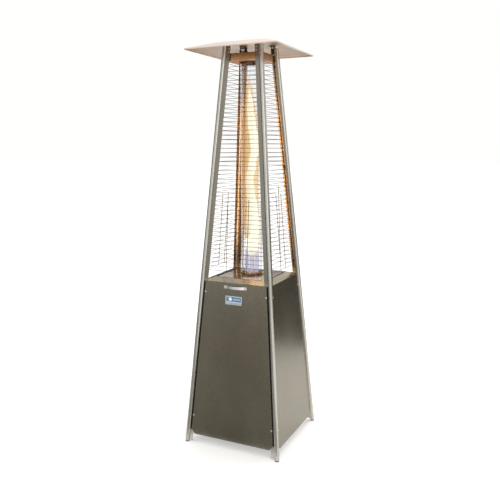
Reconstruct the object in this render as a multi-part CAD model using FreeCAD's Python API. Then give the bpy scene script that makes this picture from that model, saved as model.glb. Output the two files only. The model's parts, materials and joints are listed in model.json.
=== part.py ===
import FreeCAD, Part

import math
import os

from FreeCAD import Vector

# Free-standing gas heater in the form of a slim pyramid: four tube legs lean in towards the top,
# a closed cabinet below holds the gas cylinder, and a tall glass tube carries the flame.
# Origin: centre of the footprint on the floor. +Z up, the door faces -Y. All sizes in mm.

# ---------------------------------------------------------------- driving dimensions
FOOT_HALF = 292.475            # tube centre to heater axis at the floor, along X and along Y
LEAN = 0.07988                 # how far a leg moves in along X (and along Y) per mm of height
TUBE_R = 12.5                  # leg tube, outer radius
TUBE_WALL = 0.9
WING_REACH = 36.0              # flat wing of the leg, from tube centre to its free edge
WING_T = 1.2
FOOT_CAP_H = 6.0
WING_FOOT_Z = 10.0             # lower end of the wings
LEG_SPLIT_Z = 960.0            # joint between lower and upper leg
LEG_TOP_Z = 2297.0
SPLIT_GAP = 0.4

SHEET_T = 0.7                  # cabinet sheet metal
PANEL_OFF = WING_T / 2 + 0.3   # inner face of a panel, outwards from the plane of the leg axes
PANEL_Z0, PANEL_Z1 = 53.0, 980.0
PANEL_INBOARD = 22.0           # side edges of a panel, inwards from the tube centre
PANEL_CHAMFER_X, PANEL_CHAMFER_Z = 22.0, 26.0
PANEL_TOP_CHAMFER = 5.0

FLANGE_OFF = -(WING_T / 2 + 0.3)   # outer face of a sheet that lies against the wings inside
SHELF_Z = 75.2                 # top of the cylinder shelf
SHELF_T = 1.0
SHELF_PAD_R, SHELF_PAD_H = 114.8, 0.8   # raised round pad that the gas cylinder stands on
SHELF_FLANGE_Z0 = 55.0
SHELF_FRONT_Y = -270.0
LOCATOR_R, LOCATOR_H = 117.0, 12.0

DECK_Z = 994.0                 # top of the flat middle of the deck
DECK_FLAT_HALF = 160.0
DECK_EDGE_Z = 979.0
DECK_FLANGE_Z0 = 957.0
DECK_HOLE_R = 52.0
SLOT_HALF, SLOT_W = 148.0, 9.0  # air slots along the four edges of the deck's flat middle

GLASS_R, GLASS_WALL = 61.0, 2.5
GLASS_Z0, GLASS_Z1 = 995.5, 2224.0

PAN_Z0, PAN_Z1 = 2215.0, 2254.0
PAN_HALF = 106.0
PAN_T = 0.8
PAN_HEM = 2.5

REFLECTOR_EAVE_HALF, REFLECTOR_EAVE_Z = 274.4, 2271.0
REFLECTOR_TOP_HALF, REFLECTOR_TOP_Z = 148.3, 2311.0
REFLECTOR_T = 0.8
REFLECTOR_RIM = 6.0
REFLECTOR_BOLT = 92.0          # bolt to heater axis along X and along Y

WIRE_R = 1.25
WIRE_PITCH = 24.75
WIRE_COUNT = 48
WIRE_TOP_Z = 2206.0
UPRIGHT_R = 1.5
ROD_R = 2.0
ROD_INBOARD = 24.0             # guard side rod, inwards from the tube centre
GUARD_OFF = -4.6               # plane of the guard wires
CLIP_HEIGHTS = (1058.0, 1627.0, 2196.0)

HINGE_Z = 56.0
HINGE_BEHIND = 6.0             # hinge axis behind the door's inner face
PIN_R = 2.5
RUNNING_FIT = 0.05

SCREW_Z_LOW, SCREW_Z_HIGH = 167.0, 915.0
SCREW_INBOARD = 27.0           # screws through the wings, inwards from the tube centre

CONTROL_Y = -158.0             # front face of the control plate behind the door
CONTROL_Z = 900.0
KNOB_X, IGNITER_X = -28.0, 35.0
BURNER_R = 42.0
PILOT_RING_R = 47.0            # pilot, thermocouple and spark rod stand on this radius

SIDES = {"front": 0, "right": 90, "back": 180, "left": 270}
CORNERS = {"front_right": 0, "back_right": 90, "back_left": 180, "front_left": 270}
X_AXIS, Y_AXIS, Z_AXIS = Vector(1, 0, 0), Vector(0, 1, 0), Vector(0, 0, 1)
ORIGIN = Vector(0, 0, 0)
TILT_DEG = math.degrees(math.atan(LEAN))


# ---------------------------------------------------------------- helpers
def half(z):
    """Distance from the heater axis to the leg tube centres, along X or Y, at height z."""
    return FOOT_HALF - LEAN * z


def turned(shape, degrees):
    """A copy turned about the heater axis."""
    return shape.copy().rotate(ORIGIN, Z_AXIS, degrees)


def join(shapes):
    """One solid out of shapes that touch or overlap."""
    first, rest = shapes[0], shapes[1:]
    return first.multiFuse(rest).removeSplitter()


def group(shapes):
    """Separate solids that share one file."""
    return Part.makeCompound(shapes)


def box(x0, x1, y0, y1, z0, z1):
    return Part.makeBox(x1 - x0, y1 - y0, z1 - z0, Vector(x0, y0, z0))


def rod(start, end, radius):
    """Straight round bar between two points."""
    along = end - start
    return Part.makeCylinder(radius, along.Length, start, along)


def tube(centre, r_out, r_in, height, axis=Z_AXIS):
    outer = Part.makeCylinder(r_out, height, centre, axis)
    return outer.cut(Part.makeCylinder(r_in, height, centre, axis))


def turned_profile(points, centre, axis):
    """Solid of revolution: points are (radius, distance along axis)."""
    wire = Part.makePolygon([Vector(r, 0, h) for r, h in points] + [Vector(points[0][0], 0, points[0][1])])
    solid = Part.Face(wire).revolve(ORIGIN, Z_AXIS, 360)
    solid.Placement = FreeCAD.Placement(centre, FreeCAD.Rotation(Z_AXIS, axis))
    return solid


def face_slab(outline, off, thickness):
    """Flat sheet parallel to the front face: outline is (x, z), off is its inner face."""
    points = [Vector(x, -(half(z) + off), z) for x, z in outline]
    sheet = Part.Face(Part.makePolygon(points + points[:1]))
    return sheet.extrude(Vector(0, -thickness, 0))


def face_rect(x0, x1, z0, z1, off, thickness):
    return face_slab([(x0, z0), (x1, z0), (x1, z1), (x0, z1)], off, thickness)


def face_point(x, z, off):
    return Vector(x, -(half(z) + off), z)


def frustum(half_0, z0, half_1, z1):
    """Square frustum on the heater axis."""
    wires = []
    for h, z in ((half_0, z0), (half_1, z1)):
        ring = [Vector(-h, -h, z), Vector(h, -h, z), Vector(h, h, z), Vector(-h, h, z)]
        wires.append(Part.makePolygon(ring + ring[:1]))
    return Part.makeLoft(wires, True, True)


def along_leg(section, z0, z1):
    """Section drawn at the floor of the front right leg, carried along that leg."""
    lean = Vector(-LEAN, LEAN, 1)
    moved = section.copy().translate(lean * z0)
    return moved.extrude(lean * (z1 - z0))


def leg_disc(radius):
    centre = Vector(FOOT_HALF, -FOOT_HALF, 0)
    return Part.Face(Part.Wire(Part.makeCircle(radius, centre, Z_AXIS)))


def leg_ring(r_out, r_in):
    return leg_disc(r_out).cut(leg_disc(r_in)).Faces[0]


def leg_rect(x0, x1, y0, y1):
    """Rectangle at the floor, measured from the front right tube centre."""
    cx, cy = FOOT_HALF, -FOOT_HALF
    ring = [Vector(cx + x0, cy + y0, 0), Vector(cx + x1, cy + y0, 0)]
    ring += [Vector(cx + x1, cy + y1, 0), Vector(cx + x0, cy + y1, 0)]
    return Part.Face(Part.makePolygon(ring + ring[:1]))


def leg_clearance(z0, z1, radius=TUBE_R + 0.8):
    """Round posts around all four leg tubes, to notch a sheet's corners."""
    post = along_leg(leg_disc(radius), z0, z1)
    return [turned(post, angle) for angle in CORNERS.values()]


def rounded_path(points, radius):
    """Polyline with round corners, as one wire."""
    edges = []
    start = points[0]
    for before, corner, after in zip(points, points[1:], points[2:]):
        into = (corner - before).normalize()
        out = (after - corner).normalize()
        turn = into.getAngle(out)
        back = radius * math.tan(turn / 2)
        first, last = corner - into * back, corner + out * back
        inward = (out - into).normalize()
        middle = corner + inward * (radius / math.cos(turn / 2) - radius)
        edges.append(Part.LineSegment(start, first).toShape())
        edges.append(Part.Arc(first, middle, last).toShape())
        start = last
    edges.append(Part.LineSegment(start, points[-1]).toShape())
    return Part.Wire(edges)


def pipe(points, radius, bend):
    """Round bar or line along a path with round corners."""
    path = rounded_path(points, bend)
    ring = Part.Wire(Part.makeCircle(radius, points[0], points[1] - points[0]))
    return path.makePipeShell([ring], True, False)


def screw(tip, axis, shank_r, length, head_r, head_h):
    """Pan head screw: tip of the shank, and the axis that points out of the head."""
    rim = head_h * 0.4
    profile = [(0, 0), (shank_r - 0.4, 0), (shank_r, 0.4), (shank_r, length), (head_r, length)]
    profile += [(head_r, length + head_h - rim), (head_r - rim, length + head_h), (0, length + head_h)]
    body = turned_profile(profile, tip, axis)
    slot_depth = head_h * 0.5
    slot_w, slot_l = head_r * 0.22, head_r * 1.1
    slots = box(-slot_l / 2, slot_l / 2, -slot_w / 2, slot_w / 2, 0, slot_depth + 1)
    slots = slots.fuse(turned(slots, 90))
    slots.Placement = FreeCAD.Placement(
        tip + axis * (length + head_h - slot_depth), FreeCAD.Rotation(Z_AXIS, axis)
    )
    return body.cut(slots)


def hex_bar(across, height, centre, axis):
    radius = across / math.sqrt(3)
    ring = [Vector(radius * math.cos(math.radians(60 * i)), radius * math.sin(math.radians(60 * i)), 0)
            for i in range(6)]
    solid = Part.Face(Part.makePolygon(ring + ring[:1])).extrude(Vector(0, 0, height))
    solid.Placement = FreeCAD.Placement(centre, FreeCAD.Rotation(Z_AXIS, axis))
    return solid


OUT = Vector(0, -math.cos(math.radians(TILT_DEG)), math.sin(math.radians(TILT_DEG)))


def face_screw(x, z, off_tip, off_seat, shank_r, head_r, head_h, outward=True):
    """Screw square to the front face, from its tip to the seat under its head."""
    axis = OUT if outward else OUT * -1
    square = math.cos(math.radians(TILT_DEG))
    tip = face_point(x, z, 0) + OUT * (off_tip * square)
    return screw(tip, axis, shank_r, abs(off_seat - off_tip) * square, head_r, head_h)


def face_hole(x, z, radius):
    """Drill through everything within 12 mm of the front face."""
    centre = face_point(x, z, 0)
    return Part.makeCylinder(radius, 24, centre - OUT * 12, OUT)


def on_side(shapes, side):
    return [turned(shape, SIDES[side]) for shape in shapes]


# ---------------------------------------------------------------- legs
PANEL_SCREW_R, PANEL_HOLE_R = 3.0, 3.1
SMALL_SCREW_R, SMALL_HOLE_R = 2.0, 2.1
DECK_SCREW_Z = 968.0
SHELF_SCREW_Z = 64.0
PAN_SCREW_Z = 2262.0
BRACKET_SCREW_Z = 2280.0


def wing_holes(heights_and_radii, inboard=SCREW_INBOARD):
    """Holes in both wings of the front right leg."""
    holes = []
    for z, radius in heights_and_radii:
        front = face_hole(half(z) - inboard, z, radius)
        other = turned(face_hole(-(half(z) - inboard), z, radius), 90)
        holes += [front, other]
    return holes


def wings(z0, z1):
    root = TUBE_R - TUBE_WALL / 2
    front = along_leg(leg_rect(-WING_REACH, -root, -WING_T / 2, WING_T / 2), z0, z1)
    side = along_leg(leg_rect(-WING_T / 2, WING_T / 2, root, WING_REACH), z0, z1)
    return [front, side]


def lower_leg():
    barrel = along_leg(leg_ring(TUBE_R, TUBE_R - TUBE_WALL), FOOT_CAP_H, LEG_SPLIT_Z)
    leg = join([barrel] + wings(WING_FOOT_Z, LEG_SPLIT_Z))
    drilled = [(SCREW_Z_LOW, PANEL_HOLE_R), (SCREW_Z_HIGH, PANEL_HOLE_R), (SHELF_SCREW_Z, SMALL_HOLE_R)]
    return leg.cut(wing_holes(drilled))


def upper_leg():
    z0 = LEG_SPLIT_Z + SPLIT_GAP
    barrel = along_leg(leg_ring(TUBE_R, TUBE_R - TUBE_WALL), z0, LEG_TOP_Z)
    neck_r = TUBE_R - TUBE_WALL - 0.3
    collar = along_leg(leg_ring(TUBE_R - TUBE_WALL / 2, neck_r - 1.5), z0, z0 + 12)
    spigot = along_leg(leg_ring(neck_r, neck_r - 1.5), LEG_SPLIT_Z - 70, z0 + 12)
    leg = join([barrel, collar, spigot] + wings(z0, LEG_TOP_Z))
    drilled = [(DECK_SCREW_Z, SMALL_HOLE_R), (PAN_SCREW_Z, SMALL_HOLE_R), (BRACKET_SCREW_Z, SMALL_HOLE_R)]
    return leg.cut(wing_holes(drilled))


def foot_cap():
    sole = along_leg(leg_disc(TUBE_R), 0, FOOT_CAP_H)
    plug = along_leg(leg_disc(TUBE_R - TUBE_WALL - 0.1), FOOT_CAP_H - 1, FOOT_CAP_H + 16)
    return join([sole, plug])


# ---------------------------------------------------------------- cabinet
def panel_half(z):
    """Half width of a panel at height z."""
    return half(z) - PANEL_INBOARD


def panel_outline():
    low, high = PANEL_Z0 + PANEL_CHAMFER_Z, PANEL_Z1 - PANEL_TOP_CHAMFER
    right = [(panel_half(PANEL_Z0) - PANEL_CHAMFER_X, PANEL_Z0), (panel_half(low), low)]
    right += [(panel_half(high), high), (panel_half(PANEL_Z1) - PANEL_TOP_CHAMFER, PANEL_Z1)]
    return right + [(-x, z) for x, z in reversed(right)]


def panel_sheet():
    """One cabinet wall, drilled for the four screws near its corners."""
    sheet = face_slab(panel_outline(), PANEL_OFF, SHEET_T)
    holes = []
    for z in (SCREW_Z_LOW, SCREW_Z_HIGH):
        x = half(z) - SCREW_INBOARD
        holes += [face_hole(x, z, PANEL_HOLE_R), face_hole(-x, z, PANEL_HOLE_R)]
    return sheet.cut(holes)


def fixed_panel():
    """Side or back wall, with a stiffening fold along its top edge that hooks in over the deck."""
    lip_half = panel_half(PANEL_Z1) - 45
    fold = face_rect(-lip_half, lip_half, PANEL_Z1 - SHEET_T, PANEL_Z1, FLANGE_OFF + 1.2, 2.0)
    return join([panel_sheet(), fold])


def panel_screws(side):
    made = []
    seat = PANEL_OFF + SHEET_T
    for z in (SCREW_Z_LOW, SCREW_Z_HIGH):
        for sign in (-1, 1):
            x = sign * (half(z) - SCREW_INBOARD)
            made.append(face_screw(x, z, -6.0, seat, PANEL_SCREW_R, 5.5, 3.0))
    return on_side(made, side)


def cylinder_shelf():
    edge = half(SHELF_Z) + FLANGE_OFF
    plate = box(-edge, edge, SHELF_FRONT_Y, edge, SHELF_Z - SHELF_T, SHELF_Z)
    flange = face_rect(-250, 250, SHELF_FLANGE_Z0, SHELF_Z - SHELF_T / 2, FLANGE_OFF - SHELF_T, SHELF_T)
    flanges = [turned(flange, SIDES[side]) for side in ("right", "back", "left")]
    reach = half(SHELF_Z) - WING_REACH - 14
    tab = face_rect(reach, reach + 40, SHELF_FLANGE_Z0, SHELF_Z - SHELF_T / 2, FLANGE_OFF - SHELF_T, SHELF_T)
    corners = []
    for angle in (90, 180, 270):
        corners.append(turned(tab, angle))
        corners.append(turned(tab.mirror(ORIGIN, X_AXIS), angle))
    front = box(-250, 250, SHELF_FRONT_Y, SHELF_FRONT_Y + SHELF_T, SHELF_FLANGE_Z0, SHELF_Z)
    pad = Part.makeCylinder(SHELF_PAD_R, SHELF_T + SHELF_PAD_H, Vector(0, 0, SHELF_Z - SHELF_T), Z_AXIS)
    shelf = join([plate, front, pad] + flanges + corners)
    holes = []
    x = half(SHELF_SCREW_Z) - SCREW_INBOARD
    for angle in (90, 180, 270):
        holes.append(turned(face_hole(x, SHELF_SCREW_Z, SMALL_HOLE_R), angle))
        holes.append(turned(face_hole(-x, SHELF_SCREW_Z, SMALL_HOLE_R), angle))
    return shelf.cut(leg_clearance(40, 90) + holes)


def inner_screws(z, side, thickness, shank_r=SMALL_SCREW_R):
    """Screws driven from inside through a flange into the wings, level with the wings outside."""
    made = []
    for sign in (-1, 1):
        x = sign * (half(z) - SCREW_INBOARD)
        made.append(face_screw(x, z, 0.5, FLANGE_OFF - thickness, shank_r, 3.8, 2.4, outward=False))
    return on_side(made, side)


def cylinder_locator():
    return tube(Vector(0, 0, SHELF_Z), LOCATOR_R, LOCATOR_R - 1.2, LOCATOR_H)


# ---------------------------------------------------------------- door
HINGE_Y = -(half(HINGE_Z) + PANEL_OFF - HINGE_BEHIND)
EAR_X, EAR_T = 205.0, 2.0
EYE_R = 5.0
BRACKET_T = 2.0
HANDLE_Z0, HANDLE_H, HANDLE_T = 946.0, 16.0, 2.0
HANDLE_BOW, HANDLE_BOW_HALF, HANDLE_HALF = 18.0, 57.0, 71.0
HANDLE_SCREW_X = 64.0
LABEL_X, LABEL_HALF, LABEL_Z0, LABEL_Z1, LABEL_T = -9.0, 51.0, 855.0, 904.0, 0.3
CATCH_X, CATCH_Z0, CATCH_Z1 = 130.0, 925.0, 950.0


def door_ear():
    """Ear behind the door's foot that swings on a hinge pin: an upright plate with an eye."""
    eye = Part.makeCylinder(EYE_R, EAR_T, Vector(EAR_X, HINGE_Y, HINGE_Z), X_AXIS)
    foot_z, top_z = HINGE_Z, HINGE_Z + 34
    back = HINGE_BEHIND + 3
    ring = [Vector(EAR_X, HINGE_Y + 5, foot_z), Vector(EAR_X, -(half(foot_z) + PANEL_OFF), foot_z)]
    ring += [Vector(EAR_X, -(half(top_z) + PANEL_OFF), top_z)]
    ring += [Vector(EAR_X, -(half(top_z) + PANEL_OFF - back + 4), top_z)]
    web = Part.Face(Part.makePolygon(ring + ring[:1])).extrude(Vector(EAR_T, 0, 0))
    hole = Part.makeCylinder(PIN_R + RUNNING_FIT, EAR_T + 2, Vector(EAR_X - 1, HINGE_Y, HINGE_Z), X_AXIS)
    return join([eye, web]).cut(hole)


def front_door():
    sheet = face_slab(panel_outline(), PANEL_OFF, SHEET_T)
    ear = door_ear()
    return join([sheet, ear, ear.mirror(ORIGIN, X_AXIS)]).cut(handle_holes())


def handle_holes():
    z = HANDLE_Z0 + HANDLE_H / 2
    return [face_hole(sign * HANDLE_SCREW_X, z, SMALL_HOLE_R) for sign in (-1, 1)]


def door_handle():
    """Flat strip bowed outwards, with a screwed foot at each end."""
    radius = (HANDLE_BOW_HALF ** 2 + HANDLE_BOW ** 2) / (2 * HANDLE_BOW)
    centre_w = HANDLE_BOW - radius
    ring = tube(Vector(0, -centre_w, 0), radius, radius - HANDLE_T, HANDLE_H)
    bow = ring.common(box(-HANDLE_HALF, HANDLE_HALF, -HANDLE_BOW - 1, 0, 0, HANDLE_H))
    feet = []
    inner = HANDLE_BOW_HALF - 5
    for sign in (-1, 1):
        foot = box(inner, HANDLE_HALF, -HANDLE_T, 0, 0, HANDLE_H)
        feet.append(foot if sign > 0 else foot.mirror(ORIGIN, X_AXIS))
    strip = join([bow] + feet)
    z = HANDLE_Z0 + HANDLE_H / 2
    strip.rotate(ORIGIN, X_AXIS, -TILT_DEG)
    strip.translate(face_point(0, HANDLE_Z0, PANEL_OFF + SHEET_T))
    return strip.cut([face_hole(sign * HANDLE_SCREW_X, z, SMALL_HOLE_R) for sign in (-1, 1)])


def handle_screws():
    z = HANDLE_Z0 + HANDLE_H / 2
    seat = PANEL_OFF + SHEET_T + HANDLE_T / math.cos(math.radians(TILT_DEG))
    return group([face_screw(s * HANDLE_SCREW_X, z, -1.0, seat, SMALL_SCREW_R, 3.6, 2.2) for s in (-1, 1)])


def door_label():
    left, right = LABEL_X - LABEL_HALF, LABEL_X + LABEL_HALF
    return face_rect(left, right, LABEL_Z0, LABEL_Z1, PANEL_OFF + SHEET_T, LABEL_T)


def strike_plates():
    plates = []
    for sign in (-1, 1):
        x = sign * CATCH_X
        plates.append(face_rect(x - 22, x + 22, CATCH_Z0, CATCH_Z1, PANEL_OFF - 0.8, 0.8))
    return group(plates)


def door_dummy_screws():
    """Cap screws in the door's upper and lower corners, short enough to clear the leg wings."""
    made = []
    seat = PANEL_OFF + SHEET_T
    for z in (SCREW_Z_LOW, SCREW_Z_HIGH):
        for sign in (-1, 1):
            x = sign * (half(z) - SCREW_INBOARD)
            made.append(face_screw(x, z, seat, seat, PANEL_SCREW_R, 5.5, 3.0))
    return made


def magnet_catches():
    """Magnets that hang from the deck's front flange and hold the door's strike plates."""
    catches = []
    for sign in (-1, 1):
        x = sign * CATCH_X
        magnet = face_rect(x - 20, x + 20, CATCH_Z0 + 3, CATCH_Z1 - 3, -15.0, 14.5)
        arm = face_rect(x - 12, x + 12, CATCH_Z1 - 4, DECK_FLANGE_Z0 + 8, FLANGE_OFF - SHEET_T - 3.0, 3.0)
        catches.append(join([magnet, arm]))
    return group(catches)


def hinge_brackets():
    """Upright plates on the shelf's front flange that carry the door's hinge pins."""
    plates = []
    for sign in (-1, 1):
        x0 = EAR_X - 1.0 - BRACKET_T
        z0, z1 = HINGE_Z - EYE_R, HINGE_Z + 10
        plate = box(x0, x0 + BRACKET_T, HINGE_Y, SHELF_FRONT_Y, z0, z1)
        eye = Part.makeCylinder(EYE_R, BRACKET_T, Vector(x0, HINGE_Y, HINGE_Z), X_AXIS)
        foot = box(x0 - 18, x0 + BRACKET_T, SHELF_FRONT_Y - BRACKET_T, SHELF_FRONT_Y, z0, z1)
        hole = Part.makeCylinder(PIN_R, 40, Vector(x0 - 20, HINGE_Y, HINGE_Z), X_AXIS)
        bracket = join([plate, eye, foot]).cut(hole)
        plates.append(bracket if sign > 0 else bracket.mirror(ORIGIN, X_AXIS))
    return group(plates)


def hinge_pins():
    pins = []
    x0 = EAR_X - 1.0 - BRACKET_T
    for sign in (-1, 1):
        shank = Part.makeCylinder(PIN_R, 12, Vector(x0, HINGE_Y, HINGE_Z), X_AXIS)
        head = Part.makeCylinder(PIN_R + 1.6, 1.6, Vector(x0 - 1.6, HINGE_Y, HINGE_Z), X_AXIS)
        tail = Part.makeCylinder(PIN_R + 1.2, 1.5, Vector(x0 + 12, HINGE_Y, HINGE_Z), X_AXIS)
        pin = join([shank, head, tail])
        pins.append(pin if sign > 0 else pin.mirror(ORIGIN, X_AXIS))
    return group(pins)


# ---------------------------------------------------------------- deck, burner and controls
SEAT_R, SEAT_BASE_T, SEAT_H = 74.0, 1.5, 9.0
SEAT_SCREW_R = 68.5
CUP_Z0, CUP_Z1 = 946.0, 1000.0
HEAD_T = 3.0
VENTURI_R, VENTURI_Z0 = 13.0, 892.0
JET_Z0, JET_Z1 = 864.0, 884.0


def deck_pan():
    """Deck sheet: flat middle, border that slopes down, and a flange inside the leg wings."""
    edge_1 = half(DECK_EDGE_Z) + FLANGE_OFF
    edge_0 = half(DECK_FLANGE_Z0) + FLANGE_OFF
    t = SHEET_T
    outer = frustum(edge_0, DECK_FLANGE_Z0, edge_1, DECK_EDGE_Z)
    outer = outer.fuse(frustum(edge_1, DECK_EDGE_Z, DECK_FLAT_HALF, DECK_Z))
    inner = frustum(edge_0 - t + LEAN * 5, DECK_FLANGE_Z0 - 5, edge_1 - t + LEAN * t, DECK_EDGE_Z - t)
    inner = inner.fuse(frustum(edge_1 - t + LEAN * t, DECK_EDGE_Z - t, DECK_FLAT_HALF, DECK_Z - t))
    cuts = [Part.makeCylinder(DECK_HOLE_R, 20, Vector(0, 0, DECK_Z - 10), Z_AXIS)]
    for x, y in seat_screw_places():
        cuts.append(Part.makeCylinder(SMALL_HOLE_R, 20, Vector(x, y, DECK_Z - 10), Z_AXIS))
    x = half(DECK_SCREW_Z) - SCREW_INBOARD
    for angle in SIDES.values():
        cuts.append(turned(face_hole(x, DECK_SCREW_Z, SMALL_HOLE_R), angle))
        cuts.append(turned(face_hole(-x, DECK_SCREW_Z, SMALL_HOLE_R), angle))
    slot = box(-SLOT_HALF, SLOT_HALF, -DECK_FLAT_HALF, SLOT_W - DECK_FLAT_HALF, DECK_Z - 10, DECK_Z + 2)
    cuts += [turned(slot, angle) for angle in SIDES.values()]
    return outer.cut([inner] + leg_clearance(900, 1020) + cuts)


def seat_screw_places():
    reach = SEAT_SCREW_R / math.sqrt(2)
    return [(sx * reach, sy * reach) for sx in (-1, 1) for sy in (-1, 1)]


def tube_seat():
    """Ring on the deck that the glass tube stands in."""
    base = tube(Vector(0, 0, DECK_Z), SEAT_R, DECK_HOLE_R, SEAT_BASE_T)
    collar = tube(Vector(0, 0, DECK_Z), GLASS_R + 2.0, GLASS_R + 0.6, SEAT_H)
    holes = [Part.makeCylinder(SMALL_HOLE_R, 8, Vector(x, y, DECK_Z - 2), Z_AXIS)
             for x, y in seat_screw_places()]
    return join([base, collar]).cut(holes)


def seat_screws():
    made = []
    for x, y in seat_screw_places():
        made.append(screw(Vector(x, y, DECK_Z - 9), Z_AXIS, SMALL_SCREW_R, 9 + SEAT_BASE_T, 3.6, 2.2))
    return group(made)


def burner_cup():
    shell = tube(Vector(0, 0, CUP_Z0), BURNER_R, BURNER_R - 1.2, CUP_Z1 - CUP_Z0)
    floor = Part.makeCylinder(BURNER_R, 1.2, Vector(0, 0, CUP_Z0), Z_AXIS)
    neck = Part.makeCylinder(VENTURI_R, CUP_Z0 - VENTURI_Z0 + 1, Vector(0, 0, VENTURI_Z0), Z_AXIS)
    bore = Part.makeCylinder(VENTURI_R - 1.2, CUP_Z0 - VENTURI_Z0 + 4, Vector(0, 0, VENTURI_Z0 - 1), Z_AXIS)
    windows = []
    for angle in (45, 135):
        slot = box(-20, 20, -4, 4, VENTURI_Z0 + 6, VENTURI_Z0 + 22)
        windows.append(turned(slot, angle))
    return join([shell, floor, neck]).cut([bore] + windows)


def burner_head():
    """Perforated lid of the burner, where the flame starts."""
    lid = Part.makeCylinder(BURNER_R, HEAD_T, Vector(0, 0, CUP_Z1), Z_AXIS)
    ports = []
    for radius, count in ((38.0, 28), (32.0, 20), (24.0, 14), (12.0, 6)):
        for i in range(count):
            angle = 2 * math.pi * i / count
            spot = Vector(radius * math.cos(angle), radius * math.sin(angle), CUP_Z1 - 1)
            ports.append(Part.makeCylinder(1.6, HEAD_T + 2, spot, Z_AXIS))
    return lid.cut(ports)


def burner_bracket():
    """Cross bar under the deck that carries the burner cup."""
    z0 = DECK_Z - SHEET_T - 9.0
    plate = tube(Vector(0, 0, z0), SEAT_R + 4, BURNER_R + 0.2, 1.5)
    plate = plate.common(join([box(-90, 90, -20, 20, z0, z0 + 2), box(-20, 20, -90, 90, z0, z0 + 2),
                               turned(box(-90, 90, -17, 17, z0, z0 + 2), 45),
                               turned(box(-90, 90, -17, 17, z0, z0 + 2), 135)]))
    relief = []
    for x, y in pilot_places().values():
        relief.append(Part.makeCylinder(6.0, 6, Vector(x, y, z0 - 2), Z_AXIS))
    holes = [Part.makeCylinder(SMALL_SCREW_R + 0.6, 8, Vector(x, y, z0 - 2), Z_AXIS)
             for x, y in seat_screw_places()]
    posts = [tube(Vector(x, y, z0 + 1.5), 4.5, SMALL_SCREW_R + 0.6, 7.5) for x, y in seat_screw_places()]
    return join([plate.cut(relief + holes)] + posts)


def pilot_places():
    """Where the pilot, thermocouple and spark rod come up beside the burner."""
    places = {}
    for name, degrees in (("pilot", -115), ("thermocouple", -97), ("spark", -80)):
        angle = math.radians(degrees)
        places[name] = (PILOT_RING_R * math.cos(angle), PILOT_RING_R * math.sin(angle))
    return places


VALVE_BACK = -112.0
SLEEVE_R, STEM_R = 6.0, 4.0
BONNET_Y, BONNET_R = -164.0, 9.0
BORE_END_Y = -138.0
KNOB_BACK_Y, KNOB_FRONT_Y, KNOB_R = -168.6, -190.0, 19.0
BUTTON_R = 7.0


def control_plate():
    t = 1.2
    face = box(-75, 75, CONTROL_Y, CONTROL_Y + t, 845, DECK_Z - SHEET_T)
    top = box(-75, 75, CONTROL_Y, -128, DECK_Z - SHEET_T - t, DECK_Z - SHEET_T)
    cheeks = [box(-75, -75 + t, CONTROL_Y, -128, 845, DECK_Z - SHEET_T),
              box(75 - t, 75, CONTROL_Y, -128, 845, DECK_Z - SHEET_T)]
    valve_hole = Part.makeCylinder(BONNET_R + 0.3, 10, Vector(KNOB_X, CONTROL_Y - 4, CONTROL_Z), Y_AXIS)
    igniter_hole = Part.makeCylinder(10.3, 10, Vector(IGNITER_X, CONTROL_Y - 4, CONTROL_Z), Y_AXIS)
    below_slot = box(-80, 80, CONTROL_Y - 1, SLOT_W - DECK_FLAT_HALF + 1, DECK_EDGE_Z, DECK_Z)
    return join([face, top] + cheeks).cut([valve_hole, igniter_hole, below_slot])


def gas_valve():
    y0 = CONTROL_Y + 1.2
    body = box(KNOB_X - 18, KNOB_X + 18, y0, VALVE_BACK, CONTROL_Z - 20, CONTROL_Z + 20)
    body = body.makeFillet(3.0, [e for e in body.Edges if abs(e.tangentAt(e.FirstParameter).y) > 0.9])
    bonnet = Part.makeCylinder(BONNET_R, y0 - BONNET_Y + 2, Vector(KNOB_X, BONNET_Y, CONTROL_Z), Y_AXIS)
    bore = Part.makeCylinder(SLEEVE_R + RUNNING_FIT, BORE_END_Y - BONNET_Y + 2,
                             Vector(KNOB_X, BONNET_Y - 2, CONTROL_Z), Y_AXIS)
    return join([body, bonnet]).cut(bore)


def stem_sleeve():
    """Sliding sleeve in the valve bonnet: it lets the knob be pushed in before it turns."""
    return tube(Vector(KNOB_X, -163.0, CONTROL_Z), SLEEVE_R, STEM_R + RUNNING_FIT, 16.0, Y_AXIS)


def valve_stem():
    return Part.makeCylinder(STEM_R, 36.0, Vector(KNOB_X, -183.0, CONTROL_Z), Y_AXIS)


def control_knob():
    depth = KNOB_BACK_Y - KNOB_FRONT_Y
    profile = [(0, 0), (KNOB_R, 0), (KNOB_R, 3), (KNOB_R - 2, 5), (KNOB_R - 4, depth - 1.5)]
    profile += [(KNOB_R - 5.5, depth), (0, depth)]
    knob = turned_profile(profile, Vector(KNOB_X, KNOB_BACK_Y, CONTROL_Z), Vector(0, -1, 0))
    flutes = []
    for i in range(12):
        angle = math.radians(30 * i + 15)
        spot = Vector(KNOB_X + 20 * math.cos(angle), KNOB_FRONT_Y - 1, CONTROL_Z + 20 * math.sin(angle))
        flutes.append(Part.makeCylinder(3.5, depth - 5, spot, Y_AXIS))
    pointer = box(KNOB_X - 1.5, KNOB_X + 1.5, KNOB_FRONT_Y - 1.2, KNOB_FRONT_Y + 1, CONTROL_Z + 3,
                  CONTROL_Z + KNOB_R - 6)
    bore = Part.makeCylinder(STEM_R, KNOB_BACK_Y + 184.0, Vector(KNOB_X, -183.0, CONTROL_Z), Y_AXIS)
    return join([knob.cut(flutes), pointer]).cut(bore)


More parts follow.
